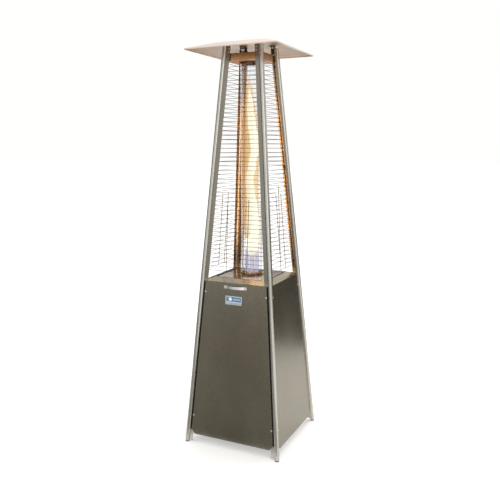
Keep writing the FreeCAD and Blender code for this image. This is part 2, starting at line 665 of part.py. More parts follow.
def igniter_body():
    """Push-button spark igniter behind the control plate."""
    bezel = turned_profile([(BUTTON_R + RUNNING_FIT, 0), (14, 0), (14, 1.5), (12.5, 3), (BUTTON_R + RUNNING_FIT, 3)],
                           Vector(IGNITER_X, CONTROL_Y, CONTROL_Z), Vector(0, -1, 0))
    barrel = tube(Vector(IGNITER_X, CONTROL_Y, CONTROL_Z), 10.0, BUTTON_R + RUNNING_FIT, 30, Y_AXIS)
    nut = tube(Vector(IGNITER_X, CONTROL_Y + 1.2, CONTROL_Z), 13.0, 9.8, 5, Y_AXIS)
    cap = Part.makeCylinder(10.0, 14, Vector(IGNITER_X, CONTROL_Y + 24, CONTROL_Z), Y_AXIS)
    return join([bezel, barrel, nut, cap])


def igniter_button():
    profile = [(0, 0), (BUTTON_R, 0), (BUTTON_R, 21), (BUTTON_R - 1.2, 22.4), (0, 22.4)]
    return turned_profile(profile, Vector(IGNITER_X, CONTROL_Y + 8, CONTROL_Z), Vector(0, -1, 0))


INLET_X, INLET_Y = KNOB_X, -132.0
INLET_THREAD_R, INLET_THREAD_L = 6.6, 14.0


def gas_inlet():
    """Nipple under the valve where a gas hose is screwed on."""
    z = CONTROL_Z - 20
    top = Vector(INLET_X, INLET_Y, z)
    nut = hex_bar(17.0, 9.0, top, Z_AXIS * -1)
    thread = Part.makeCylinder(INLET_THREAD_R, INLET_THREAD_L + 9.0, top, Z_AXIS * -1)
    bore = Part.makeCylinder(2.5, INLET_THREAD_L + 10.0, top, Z_AXIS * -1)
    return join([nut, thread]).cut(bore)


def gas_jet():
    """Block under the burner neck that carries the gas nozzle."""
    block = hex_bar(22.0, JET_Z1 - JET_Z0, Vector(0, 0, JET_Z0), Z_AXIS)
    nozzle = turned_profile([(0, 0), (4, 0), (4, 5), (1.5, 9), (0, 9)], Vector(0, 0, JET_Z1 - 1), Z_AXIS)
    return join([block, nozzle])


def jet_cage():
    """Two straps that hang the gas jet from the burner neck."""
    top = VENTURI_Z0 + 4
    straps = []
    for sign in (-1, 1):
        strap = box(VENTURI_R, VENTURI_R + 1.5, -5, 5, JET_Z0 + 4, top)
        foot = box(9.0, VENTURI_R + 1.5, -5, 5, JET_Z0 - 1.5, JET_Z0)
        riser = box(VENTURI_R, VENTURI_R + 1.5, -5, 5, JET_Z0 - 1.5, JET_Z0 + 5)
        piece = join([strap, foot, riser])
        straps.append(piece if sign > 0 else piece.mirror(ORIGIN, X_AXIS))
    return group(straps)


def gas_pipe():
    z = (JET_Z0 + JET_Z1) / 2
    points = [Vector(KNOB_X, VALVE_BACK, 891), Vector(KNOB_X, -76, 891), Vector(0, -44, z), Vector(0, -11.0, z)]
    return pipe(points, 4.0, 14.0)


def pilot_line(name, start, radius, top_z, bend):
    x, y = pilot_places()[name]
    points = [start, Vector(start.x, start.y + 26, start.z), Vector(x, y, start.z + 26), Vector(x, y, top_z)]
    return pipe(points, radius, bend)


def pilot_burner():
    line = pilot_line("pilot", Vector(KNOB_X - 10, VALVE_BACK, 912), 2.0, 1006, 9.0)
    x, y = pilot_places()["pilot"]
    hood = Part.makeCylinder(3.8, 9, Vector(x, y, 1003), Z_AXIS)
    return join([line, hood])


def thermocouple():
    line = pilot_line("thermocouple", Vector(KNOB_X + 10, VALVE_BACK, 912), 1.3, 1000, 9.0)
    x, y = pilot_places()["thermocouple"]
    probe = Part.makeCylinder(2.6, 20, Vector(x, y, 994), Z_AXIS)
    tip = Part.makeSphere(2.6, Vector(x, y, 1014))
    return join([line, probe, tip])


def spark_electrode():
    line = pilot_line("spark", Vector(IGNITER_X, CONTROL_Y + 38, 900), 1.6, 990, 9.0)
    x, y = pilot_places()["spark"]
    ceramic = Part.makeCylinder(3.2, 20, Vector(x, y, 986), Z_AXIS)
    wire = Part.makeCylinder(0.9, 12, Vector(x, y, 1004), Z_AXIS)
    return join([line, ceramic, wire])


def tilt_switch():
    """Switch that shuts the gas off if the heater leans too far."""
    case = box(42, 70, CONTROL_Y + 1.2, CONTROL_Y + 21, 938, 962)
    case = case.makeFillet(2.0, case.Edges)
    lug = box(42, 70, CONTROL_Y + 1.2, CONTROL_Y + 2.7, 930, 970)
    return join([case, lug])


# ---------------------------------------------------------------- glass tube and head
def glass_tube():
    return tube(Vector(0, 0, GLASS_Z0), GLASS_R, GLASS_R - GLASS_WALL, GLASS_Z1 - GLASS_Z0)


def top_collar():
    """Ring in the top pan that steadies the glass tube."""
    sleeve = tube(Vector(0, 0, PAN_Z0 - 8), GLASS_R + 1.8, GLASS_R + 0.6, 20)
    flange = tube(Vector(0, 0, PAN_Z0 + PAN_T), GLASS_R + 15, GLASS_R + 0.6, 1.2)
    return join([sleeve, flange])


def top_pan():
    """Square pan between the leg tops, open above, with lugs that screw to the leg wings."""
    t = PAN_T
    outer = box(-PAN_HALF, PAN_HALF, -PAN_HALF, PAN_HALF, PAN_Z0, PAN_Z1)
    inner = box(-PAN_HALF + t, PAN_HALF - t, -PAN_HALF + t, PAN_HALF - t, PAN_Z0 + t, PAN_Z1 + 1)
    hem_half = PAN_HALF + PAN_HEM
    hem = box(-hem_half, hem_half, -hem_half, hem_half, PAN_Z0 - 1.5, PAN_Z0)
    lip_half = half(PAN_Z1) + FLANGE_OFF
    lip = box(-lip_half, lip_half, -lip_half, lip_half, PAN_Z1 - t, PAN_Z1)
    lip = lip.cut(box(-PAN_HALF + t, PAN_HALF - t, -PAN_HALF + t, PAN_HALF - t, PAN_Z1 - 2, PAN_Z1 + 1))
    lugs = []
    x = half(PAN_SCREW_Z) - SCREW_INBOARD
    lug = face_rect(x - 8, x + 8, PAN_Z1 - t, PAN_SCREW_Z + 7, FLANGE_OFF - t, t)
    for angle in SIDES.values():
        lugs.append(turned(lug, angle))
        lugs.append(turned(lug.mirror(ORIGIN, X_AXIS), angle))
    hole = Part.makeCylinder(GLASS_R + 2.0, 20, Vector(0, 0, PAN_Z0 - 5), Z_AXIS)
    drilled = []
    for angle in SIDES.values():
        drilled.append(turned(face_hole(x, PAN_SCREW_Z, SMALL_HOLE_R), angle))
        drilled.append(turned(face_hole(-x, PAN_SCREW_Z, SMALL_HOLE_R), angle))
    pan = outer.cut(inner)
    return join([pan, hem, lip] + lugs).cut([hole] + drilled + leg_clearance(2150, 2290))


def wing_screws(z):
    """Screws on the outside of the leg wings, two on each face."""
    made = []
    for side in SIDES:
        pair = []
        for sign in (-1, 1):
            x = sign * (half(z) - SCREW_INBOARD)
            pair.append(face_screw(x, z, -5.0, WING_T / 2, SMALL_SCREW_R, 3.8, 2.4))
        made += on_side(pair, side)
    return made


def reflector():
    """Shallow square hood with a flat top and a turned-down rim."""
    t = REFLECTOR_T
    slope_t = t * 1.05
    rim_z = REFLECTOR_EAVE_Z - REFLECTOR_RIM
    eave, top = REFLECTOR_EAVE_HALF, REFLECTOR_TOP_HALF
    outer = box(-eave, eave, -eave, eave, rim_z, REFLECTOR_EAVE_Z)
    outer = outer.fuse(frustum(eave, REFLECTOR_EAVE_Z, top, REFLECTOR_TOP_Z))
    inner_eave = eave - t
    inner = box(-inner_eave, inner_eave, -inner_eave, inner_eave, rim_z - 1, REFLECTOR_EAVE_Z - slope_t / 2)
    inner = inner.fuse(frustum(inner_eave, REFLECTOR_EAVE_Z - slope_t / 2, top, REFLECTOR_TOP_Z - t))
    holes = [Part.makeCylinder(PANEL_HOLE_R, 10, Vector(sx * REFLECTOR_BOLT, sy * REFLECTOR_BOLT,
                                                        REFLECTOR_TOP_Z - 5), Z_AXIS)
             for sx in (-1, 1) for sy in (-1, 1)]
    return outer.cut([inner] + holes)


def reflector_bracket():
    """Corner bracket on the wings of the front right leg, with a shelf under the reflector."""
    z0, z1 = 2270.0, REFLECTOR_TOP_Z - REFLECTOR_T
    t = 1.5
    plate_x = half(z0) - WING_REACH + 2
    edge = half(z0) - TUBE_R - 2.0
    front = face_rect(plate_x, edge, z0, LEG_TOP_Z - 1, FLANGE_OFF - t, t)
    riser = face_rect(plate_x, edge - 4, LEG_TOP_Z - 2, z1, FLANGE_OFF - t, t)
    side = turned(front.mirror(ORIGIN, X_AXIS), 90)
    side_riser = turned(riser.mirror(ORIGIN, X_AXIS), 90)
    inset = half(z1) + FLANGE_OFF
    top = box(plate_x - 6, inset, -inset, -(plate_x - 6), z1 - t, z1)
    centre = Vector(REFLECTOR_BOLT, -REFLECTOR_BOLT, z1 - 10)
    holes = [Part.makeCylinder(PANEL_HOLE_R, 20, centre, Z_AXIS)]
    x = half(BRACKET_SCREW_Z) - SCREW_INBOARD
    holes.append(face_hole(x, BRACKET_SCREW_Z, SMALL_HOLE_R))
    holes.append(turned(face_hole(-x, BRACKET_SCREW_Z, SMALL_HOLE_R), 90))
    return join([front, riser, side, side_riser, top]).cut(holes)


def reflector_bolt():
    """Bolt down through the reflector and its bracket, with its nut below."""
    seat = REFLECTOR_TOP_Z
    top = Vector(REFLECTOR_BOLT, -REFLECTOR_BOLT, seat - 18)
    bolt = screw(top, Z_AXIS, PANEL_SCREW_R, 18, 6.0, 3.5)
    nut_z = REFLECTOR_TOP_Z - REFLECTOR_T - 1.5 - 5.0
    nut = hex_bar(10.0, 5.0, Vector(REFLECTOR_BOLT, -REFLECTOR_BOLT, nut_z), Z_AXIS)
    return join([bolt, nut])


# ---------------------------------------------------------------- wire guards
UPRIGHTS = {  # each side's upright wires: distance from the middle, and where they end
    "front": ((-65.0, 1452.0), (65.0, 1452.0)),
    "right": ((-36.0, 1476.0), (36.0, 1476.0)),
    "back": ((-100.0, 1511.0), (100.0, 1511.0)),
    "left": ((-36.0, 1476.0), (36.0, 1476.0)),
}
ROD_Z0, ROD_Z1 = 1012.0, 2211.0


def guard(side):
    """Welded wire screen between two legs: side rods, level wires and two short uprights."""
    members = []
    for sign in (-1, 1):
        foot = face_point(sign * (half(ROD_Z0) - ROD_INBOARD), ROD_Z0, GUARD_OFF)
        head = face_point(sign * (half(ROD_Z1) - ROD_INBOARD), ROD_Z1, GUARD_OFF)
        members.append(rod(foot, head, ROD_R))
    for i in range(WIRE_COUNT):
        z = WIRE_TOP_Z - i * WIRE_PITCH
        x = half(z) - ROD_INBOARD
        members.append(rod(face_point(-x, z, GUARD_OFF), face_point(x, z, GUARD_OFF), WIRE_R))
    lowest = WIRE_TOP_Z - (WIRE_COUNT - 1) * WIRE_PITCH
    for x, top_z in UPRIGHTS[side]:
        members.append(rod(face_point(x, lowest - 4, GUARD_OFF), face_point(x, top_z, GUARD_OFF), UPRIGHT_R))
    return join(members)


def guard_clips():
    """Clips behind the leg wings that hold the guards' side rods."""
    made = []
    for side in SIDES:
        pair = []
        for z in CLIP_HEIGHTS:
            for sign in (-1, 1):
                x = sign * (half(z) - ROD_INBOARD)
                foot = face_point(sign * (half(z - 5) - ROD_INBOARD), z - 5, GUARD_OFF)
                head = face_point(sign * (half(z + 5) - ROD_INBOARD), z + 5, GUARD_OFF)
                eye = rod(foot, head, ROD_R + 1.3)
                pad = face_rect(x - 7, x + 7, z - 5, z + 5, FLANGE_OFF - 1.2, 1.2)
                hole = rod(foot - (head - foot), head + (head - foot), ROD_R + 0.1)
                pair.append(join([eye, pad]).cut(hole))
        made += on_side(pair, side)
    return group(made)


# ---------------------------------------------------------------- write the parts
def build():
    parts = {}
    lower, upper = lower_leg(), upper_leg()
    for name, angle in CORNERS.items():
        parts["lower_leg_" + name] = turned(lower, angle)
        parts["upper_leg_" + name] = turned(upper, angle)
    parts["foot_caps"] = group([turned(foot_cap(), angle) for angle in CORNERS.values()])
    panel = fixed_panel()
    for side in ("right", "back", "left"):
        parts["panel_" + side] = turned(panel, SIDES[side])
    fixed = ("right", "back", "left")
    parts["panel_screws"] = group([s for side in fixed for s in panel_screws(side)])
    parts["cylinder_shelf"] = cylinder_shelf()
    parts["cylinder_locator"] = cylinder_locator()
    parts["shelf_screws"] = group([s for side in fixed for s in inner_screws(SHELF_SCREW_Z, side, SHELF_T)])
    parts["front_door"] = front_door()
    parts["door_corner_screws"] = group(door_dummy_screws())
    parts["door_handle"] = door_handle()
    parts["handle_screws"] = handle_screws()
    parts["door_label"] = door_label()
    parts["strike_plates"] = strike_plates()
    parts["magnet_catches"] = magnet_catches()
    parts["hinge_brackets"] = hinge_brackets()
    parts["hinge_pins"] = hinge_pins()
    parts["deck_pan"] = deck_pan()
    parts["deck_screws"] = group([s for side in SIDES for s in inner_screws(DECK_SCREW_Z, side, SHEET_T)])
    parts["tube_seat"] = tube_seat()
    parts["seat_screws"] = seat_screws()
    parts["burner_cup"] = burner_cup()
    parts["burner_head"] = burner_head()
    parts["burner_bracket"] = burner_bracket()
    parts["gas_jet"] = gas_jet()
    parts["jet_straps"] = jet_cage()
    parts["gas_pipe"] = gas_pipe()
    parts["pilot_burner"] = pilot_burner()
    parts["thermocouple"] = thermocouple()
    parts["spark_electrode"] = spark_electrode()
    parts["control_plate"] = control_plate()
    parts["gas_valve"] = gas_valve()
    parts["gas_inlet"] = gas_inlet()
    parts["stem_sleeve"] = stem_sleeve()
    parts["valve_stem"] = valve_stem()
    parts["control_knob"] = control_knob()
    parts["igniter_body"] = igniter_body()
    parts["igniter_button"] = igniter_button()
    parts["tilt_switch"] = tilt_switch()
    parts["glass_tube"] = glass_tube()
    parts["top_collar"] = top_collar()
    parts["top_pan"] = top_pan()
    parts["top_pan_screws"] = group(wing_screws(PAN_SCREW_Z))
    parts["reflector"] = reflector()
    bracket, bolt = reflector_bracket(), reflector_bolt()
    parts["reflector_brackets"] = group([turned(bracket, angle) for angle in CORNERS.values()])
    parts["bracket_screws"] = group(wing_screws(BRACKET_SCREW_Z))
    parts["reflector_bolts"] = group([turned(bolt, angle) for angle in CORNERS.values()])
    for side in SIDES:
        parts["guard_" + side] = turned(guard(side), SIDES[side])
    parts["guard_clips"] = guard_clips()
    return parts


def main():
    os.makedirs("parts", exist_ok=True)
    for name, shape in build().items():
        shape.exportStep("parts/" + name + ".step")
        print(name, "solids", len(shape.Solids), "valid", shape.isValid(), "cm3", round(shape.Volume / 1000, 2))


main()
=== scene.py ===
import json
import math

import bpy
from mathutils import Matrix, Vector


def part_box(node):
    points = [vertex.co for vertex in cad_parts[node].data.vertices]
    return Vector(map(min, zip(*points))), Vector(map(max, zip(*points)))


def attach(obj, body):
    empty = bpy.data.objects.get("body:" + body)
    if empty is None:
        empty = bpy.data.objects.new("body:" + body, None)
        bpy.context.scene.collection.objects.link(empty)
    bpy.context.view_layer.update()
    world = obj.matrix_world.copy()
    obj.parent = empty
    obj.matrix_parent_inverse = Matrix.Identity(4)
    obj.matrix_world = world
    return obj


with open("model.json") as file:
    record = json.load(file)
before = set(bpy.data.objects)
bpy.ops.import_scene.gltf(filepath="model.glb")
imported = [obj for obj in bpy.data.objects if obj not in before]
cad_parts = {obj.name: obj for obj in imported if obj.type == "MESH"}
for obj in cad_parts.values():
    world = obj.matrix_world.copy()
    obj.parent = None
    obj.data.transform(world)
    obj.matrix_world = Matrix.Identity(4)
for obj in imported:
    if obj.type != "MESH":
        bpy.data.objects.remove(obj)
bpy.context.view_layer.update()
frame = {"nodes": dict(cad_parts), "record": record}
NODES = frame["nodes"]

# ---------------------------------------------------------------- sizes, in metres
GLASS_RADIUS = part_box("glass_tube")[1].x
BURNER_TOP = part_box("burner_head")[1].z
PAN_LOW, PAN_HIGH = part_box("top_pan")
LABEL_LOW, LABEL_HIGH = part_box("door_label")
FOOT_HALF, LEAN = 0.292475, 0.07988        # leg tube centre to heater axis at the floor, and lean per metre
TUBE_RADIUS = 0.0125                       # leg tube
DECK_FLAT = 0.160                          # half width of the deck's flat middle
VIEW_AZIMUTH = math.radians(25.356)        # the camera's turn round the heater, from straight ahead

# heights on a leg where one painted mark gives way to the next: painted gap shade by the door, painted wing
# shade, painted flame glow, and a darker top
GAP_SHADE_FOOT, GAP_SHADE_HEAD = (0.076, 0.080), (0.982, 0.976)
WING_SHADE_START, WING_GLOW_RISE, WING_DARK_TOP = (0.97, 1.0), (1.00, 1.30), (2.245, 2.275)
GAP_SHADE_REACH = (0.003, 0.002)               # distance from the leg's face plane, where the painted gap shade fades

# label layout
LABEL_STRIP, LABEL_BORDER, LABEL_SOFT = 0.014, 0.0035, 0.0005
DISC_IN, DISC_RADIUS, DISC_CORE = 0.030, 0.0110, 0.0095
BAR_LEFT, BAR_RIGHT, BAR_HALF, BAR_SOFT = 0.048, 0.010, 0.0045, 0.002


# ---------------------------------------------------------------- node helpers
class Shade:
    """A material under construction: short calls for the nodes it needs."""

    def __init__(self, name):
        self.material = bpy.data.materials.new(name)
        self.material.use_nodes = True
        self.tree = self.material.node_tree
        self.tree.nodes.clear()
        self.out = self.tree.nodes.new("ShaderNodeOutputMaterial")
        self.texture = self.tree.nodes.new("ShaderNodeTexCoord").outputs
        self.coords = self.texture["Object"]

    def node(self, kind, **settings):
        made = self.tree.nodes.new(kind)
        for key, value in settings.items():
            setattr(made, key, value)
        return made

    def join(self, source, target):
        self.tree.links.new(source, target)

    def put(self, node, key, value):
        """Sets a socket to a number, or joins it to another socket."""
        socket = node.inputs[key]
        if isinstance(value, bpy.types.NodeSocket):
            self.join(value, socket)
        else:
            socket.default_value = value

    def scaled(self, scale, offset=(0, 0, 0)):
        made = self.node("ShaderNodeMapping")
        self.join(self.coords, made.inputs["Vector"])
        made.inputs["Scale"].default_value = scale
        made.inputs["Location"].default_value = offset
        return made.outputs["Vector"]

    def noise(self, scale, detail=3.0, rough=0.55, stretch=(1, 1, 1), offset=(0, 0, 0)):
        made = self.node("ShaderNodeTexNoise")
        self.join(self.scaled(stretch, offset), made.inputs["Vector"])
        made.inputs["Scale"].default_value = scale
        made.inputs["Detail"].default_value = detail
        made.inputs["Roughness"].default_value = rough
        return made.outputs["Fac"]

    def span(self, value, low, high, to_low=0.0, to_high=1.0):
        """Maps low..high to to_low..to_high, held inside that range."""
        made = self.node("ShaderNodeMapRange")
        self.put(made, "Value", value)
        made.inputs["From Min"].default_value = low
        made.inputs["From Max"].default_value = high
        made.inputs["To Min"].default_value = to_low
        made.inputs["To Max"].default_value = to_high
        return made.outputs["Result"]

    def maths(self, operation, first, second=0.0):
        made = self.node("ShaderNodeMath", operation=operation)
        self.put(made, 0, first)
        self.put(made, 1, second)
        return made.outputs[0]

    def axis(self, name):
        made = self.node("ShaderNodeSeparateXYZ")
        self.join(self.coords, made.inputs[0])
        return made.outputs[name]

    def mix(self, share, first, second, blend="MIX"):
        made = self.node("ShaderNodeMix", data_type="RGBA", blend_type=blend)
        self.put(made, 0, share)
        self.put(made, 6, rgba(first))
        self.put(made, 7, rgba(second))
        return made.outputs[2]

    def bump(self, height, strength, distance, under=None):
        made = self.node("ShaderNodeBump")
        self.put(made, "Height", height)
        made.inputs["Strength"].default_value = strength
        made.inputs["Distance"].default_value = distance
        if under is not None:
            self.join(under, made.inputs["Normal"])
        return made.outputs["Normal"]

    def surface(self, **sockets):
        made = self.node("ShaderNodeBsdfPrincipled")
        for key, value in sockets.items():
            self.put(made, key.replace("_", " "), rgba(value) if isinstance(value, tuple) else value)
        self.join(made.outputs[0], self.out.inputs["Surface"])
        return made


def rgba(colour):
    if isinstance(colour, tuple) and len(colour) == 3:
        return colour + (1.0,)
    return colour


# ---------------------------------------------------------------- materials
GRAIN_FINE, GRAIN_LONG = 900.0, 7.0      # brush marks per metre, across and along the grain


def brushed(name, dark, light, roughness, grain="z", tint=None, smudge=2.6, contrast=0.5, border=None):
    """Brushed sheet: fine marks along one axis, cloudy smears, and painted shade beyond a border when one is
    given.
    """
    shade = Shade(name)
    stretch = {"z": (GRAIN_FINE, GRAIN_FINE, GRAIN_LONG), "x": (GRAIN_LONG, GRAIN_FINE, GRAIN_FINE),
               "xy": (GRAIN_LONG, GRAIN_LONG, GRAIN_FINE)}[grain]
    marks = shade.noise(1.0, 3.0, 0.6, stretch)
    long_stretch = tuple(v * 0.22 for v in stretch)
    bands = shade.noise(1.0, 2.0, 0.5, long_stretch, (3.1, 1.7, 0.4))
    clouds = shade.noise(smudge, 4.0, 0.6, (1, 1, 0.6), (5.2, 2.1, 7.7))
    share = shade.span(clouds, 0.5 - contrast / 2, 0.5 + contrast / 2)
    colour = shade.mix(share, dark, light)
    if tint is not None:
        blotch = shade.noise(smudge * 0.8, 2.0, 0.5, (1, 1, 1), (9.3, 4.4, 1.2))
        colour = shade.mix(shade.span(blotch, 0.48, 0.68, 0.0, 0.6), colour, tint)
    streak = shade.span(marks, 0.25, 0.75, 0.80, 1.0)
    grey = shade.node("ShaderNodeCombineColor")
    for channel in ("Red", "Green", "Blue"):
        shade.join(streak, grey.inputs[channel])
    colour = shade.mix(1.0, colour, grey.outputs[0], "MULTIPLY")
    # painted shade: past the border's start the sheet is painted darker
    if border is not None:
        start, border_shade = border
        reach = shade.maths("MAXIMUM", shade.maths("ABSOLUTE", shade.axis("X")),
                            shade.maths("ABSOLUTE", shade.axis("Y")))
        colour = shade.mix(shade.span(reach, start, start + 0.003), colour, border_shade)
    wear = shade.maths("ADD", shade.span(marks, 0.3, 0.7, -0.05, 0.07),
                       shade.span(clouds, 0.3, 0.7, -0.04, 0.06))
    rough = shade.maths("ADD", wear, roughness)
    fine = shade.bump(marks, 0.10, 0.0003)
    normal = shade.bump(bands, 0.06, 0.0008, fine)
    shade.surface(Base_Color=colour, Metallic=1.0, Roughness=rough, Normal=normal)
    return shade


def plated(name, dark, light, roughness, scale=260.0):
    """Small plated or heat-stained metal pieces: mottled colour and fine pits."""
    shade = Shade(name)
    mottle = shade.noise(scale, 4.0, 0.6)
    broad = shade.noise(scale * 0.12, 2.0, 0.5, (1, 1, 1), (2.2, 6.1, 0.8))
    colour = shade.mix(shade.span(mottle, 0.35, 0.7), dark, light)
    rough = shade.maths("ADD", shade.span(broad, 0.3, 0.7, -0.08, 0.1), roughness)
    normal = shade.bump(mottle, 0.12, 0.0004)
    shade.surface(Base_Color=colour, Metallic=1.0, Roughness=rough, Normal=normal)
    return shade


def moulded(name, dark, light, roughness, coat=0.0):
    """Moulded plastic or ceramic: fine spark texture and a slightly uneven gloss."""
    shade = Shade(name)
    grain = shade.noise(1600.0, 3.0, 0.7)
    broad = shade.noise(40.0, 3.0, 0.5)
    colour = shade.mix(shade.span(broad, 0.3, 0.7), dark, light)
    rough = shade.maths("ADD", shade.span(grain, 0.3, 0.7, -0.06, 0.08), roughness)
    normal = shade.bump(grain, 0.15, 0.0002)
    shade.surface(Base_Color=colour, Roughness=rough, Normal=normal, Coat_Weight=coat)
    return shade


def heated(name, cool, straw, bronze, low_z, high_z):
    """Sheet discoloured by the flame: straw at its lower edge, bronze above, in cloudy bands."""
    shade = Shade(name)
    height = shade.span(shade.axis("Z"), low_z, high_z)
    waver = shade.noise(14.0, 3.0, 0.6, (1, 1, 3))
    level = shade.maths("ADD", height, shade.span(waver, 0.3, 0.7, -0.25, 0.25))
    colour = shade.mix(shade.span(level, 0.0, 0.55), straw, bronze)
    colour = shade.mix(shade.span(waver, 0.62, 0.8, 0.0, 0.7), colour, cool)
    marks = shade.noise(1.0, 3.0, 0.6, (GRAIN_LONG, GRAIN_LONG, GRAIN_FINE))
    rough = shade.span(marks, 0.3, 0.7, 0.28, 0.42)
    shade.surface(Base_Color=colour, Metallic=1.0, Roughness=rough, Normal=shade.bump(marks, 0.1, 0.0003))
    return shade


def quartz():
    """Clear quartz glass with faint wipe marks and a few drawn streaks along the tube."""
    shade = Shade("quartz_glass")
    streaks = shade.noise(1.0, 3.0, 0.6, (60, 60, 1.2))
    smears = shade.noise(9.0, 3.0, 0.6)
    rough = shade.span(smears, 0.45, 0.8, 0.01, 0.07)
    colour = shade.mix(shade.span(streaks, 0.4, 0.7), (0.93, 0.95, 0.96), (0.99, 0.99, 0.99))
    shade.surface(Base_Color=colour, Roughness=rough, Transmission_Weight=1.0, IOR=1.45,
                  Normal=shade.bump(streaks, 0.03, 0.001))
    return shade


def leg_finish():
    """Brushed leg: painted shade in the gap by the door, painted shade on the wings above the deck, a painted
    flame glow on the inner faces, and inner faces darker at the very top.
    """
    shade = Shade("leg_steel")
    marks = shade.noise(1.0, 3.0, 0.6, (GRAIN_FINE, GRAIN_FINE, GRAIN_LONG))
    clouds = shade.noise(6.0, 4.0, 0.6, (1, 1, 0.5))
    colour = shade.mix(shade.span(clouds, 0.3, 0.7), (0.44, 0.43, 0.39), (0.54, 0.53, 0.485))
    colour = shade.mix(shade.span(marks, 0.35, 0.75, 0.0, 0.35), colour, (0.42, 0.40, 0.36))
    x, y, z = shade.axis("X"), shade.axis("Y"), shade.axis("Z")
    middle = shade.maths("SUBTRACT", FOOT_HALF, shade.maths("MULTIPLY", z, LEAN))
    inboard = shade.maths("SUBTRACT", middle, shade.maths("ABSOLUTE", x))
    plane = shade.maths("ABSOLUTE", shade.maths("ADD", y, middle))
    # painted shade: along the cabinet, the flat face beside the tube is painted near black for the shadowed
    # gap between door and leg
    strip = shade.maths("MULTIPLY", shade.span(inboard, TUBE_RADIUS, TUBE_RADIUS + 0.0006),
                        shade.span(plane, *GAP_SHADE_REACH))
    strip = shade.maths("MULTIPLY", strip, shade.span(z, *GAP_SHADE_FOOT))
    strip = shade.maths("MULTIPLY", strip, shade.span(z, *GAP_SHADE_HEAD))
    colour = shade.mix(strip, colour, (0.022, 0.020, 0.017))
    across = shade.maths("SUBTRACT", middle, shade.maths("ABSOLUTE", y))
    # painted shade: above the deck, everything off the tube is painted darker for the shaded wings
    wing_shade = shade.span(shade.maths("MAXIMUM", inboard, across), TUBE_RADIUS, TUBE_RADIUS + 0.001)
    wing_shade = shade.maths("MULTIPLY", wing_shade, shade.span(z, *WING_SHADE_START))
    facing = shade.node("ShaderNodeVectorMath", operation="DOT_PRODUCT")
    shade.join(shade.coords, facing.inputs[0])
    shade.join(shade.texture["Normal"], facing.inputs[1])
    outward = facing.outputs["Value"]
    # the painted wing shade is laid on here
    colour = shade.mix(wing_shade, colour, (0.25, 0.235, 0.20))
    inner = shade.span(shade.maths("ADD", inboard, across), 0.004, 0.020)
    inner = shade.maths("MULTIPLY", inner, shade.span(outward, 0.02, -0.02))
    # painted flame glow: the inner faces are painted orange, at a quarter strength low down and three
    # quarters from 1.3 m up
    heat = shade.maths("MULTIPLY", inner, shade.span(z, *WING_GLOW_RISE, 0.25, 0.75))
    colour = shade.mix(heat, colour, (0.74, 0.52, 0.30))
    # inner faces darker from 2.245 m up, where the legs meet the hood
    top_darkening = shade.maths("MULTIPLY", inner, shade.span(z, *WING_DARK_TOP))
    colour = shade.mix(shade.maths("MULTIPLY", top_darkening, 0.92), colour, (0.05, 0.04, 0.03))
    rough = shade.maths("ADD", shade.span(marks, 0.3, 0.7, -0.05, 0.07), 0.26)
    rough = shade.maths("ADD", rough, shade.maths("MULTIPLY", strip, 0.5))
    shade.surface(Base_Color=colour, Metallic=1.0, Roughness=rough, Normal=shade.bump(marks, 0.1, 0.0003))
    return shade


def label_film():
    """Plain label: blue field with a pale frame, a pale disc, and a silver strip below. No lettering."""
    shade = Shade("label_film")
    x = shade.axis("X")
    z = shade.axis("Z")
    low, high = LABEL_LOW, LABEL_HIGH
    split = low.z + LABEL_STRIP
    centre = (split + high.z) / 2
    from_centre = shade.maths("ABSOLUTE", shade.maths("SUBTRACT", x, (low.x + high.x) / 2))
    half_width = (high.x - low.x) / 2
    edge_x = shade.span(from_centre, half_width - LABEL_BORDER,
                         half_width - LABEL_BORDER + LABEL_SOFT)
    dz = shade.maths("ABSOLUTE", shade.maths("SUBTRACT", z, centre))
    half_height = (high.z - split) / 2
    edge_z = shade.span(dz, half_height - LABEL_BORDER, half_height - LABEL_BORDER + LABEL_SOFT)
    border = shade.maths("MAXIMUM", edge_x, edge_z)
    cloud = shade.noise(60.0, 3.0, 0.5)
    field = shade.mix(shade.span(cloud, 0.3, 0.7), (0.050, 0.120, 0.25), (0.12, 0.22, 0.36))
    dx = shade.maths("SUBTRACT", x, low.x + DISC_IN)
    square = shade.maths("ADD", shade.maths("MULTIPLY", dx, dx), shade.maths("MULTIPLY", dz, dz))
    disc = shade.span(square, DISC_RADIUS ** 2, DISC_CORE ** 2)
    bar_height = shade.span(dz, BAR_HALF, BAR_HALF - 0.001)
    bar_span = shade.maths("MULTIPLY", shade.span(x, low.x + BAR_LEFT, low.x + BAR_LEFT + BAR_SOFT),
                           shade.span(x, high.x - BAR_RIGHT, high.x - BAR_RIGHT - BAR_SOFT))
    bars = shade.maths("MULTIPLY", bar_height, bar_span)
    colour = shade.mix(disc, field, (0.62, 0.72, 0.82))
    colour = shade.mix(shade.maths("MULTIPLY", bars, 0.55), colour, (0.45, 0.60, 0.68))
    colour = shade.mix(border, colour, (0.55, 0.62, 0.66))
    strip = shade.span(z, split, split - 0.0006)
    silver = shade.mix(shade.span(cloud, 0.3, 0.7), (0.27, 0.32, 0.33), (0.37, 0.42, 0.43))
    colour = shade.mix(strip, colour, silver)
    rough = shade.span(cloud, 0.3, 0.7, 0.24, 0.4)
    shade.surface(Base_Color=colour, Roughness=rough, Coat_Weight=0.4, Normal=shade.bump(cloud, 0.04, 0.0005))
    return shade


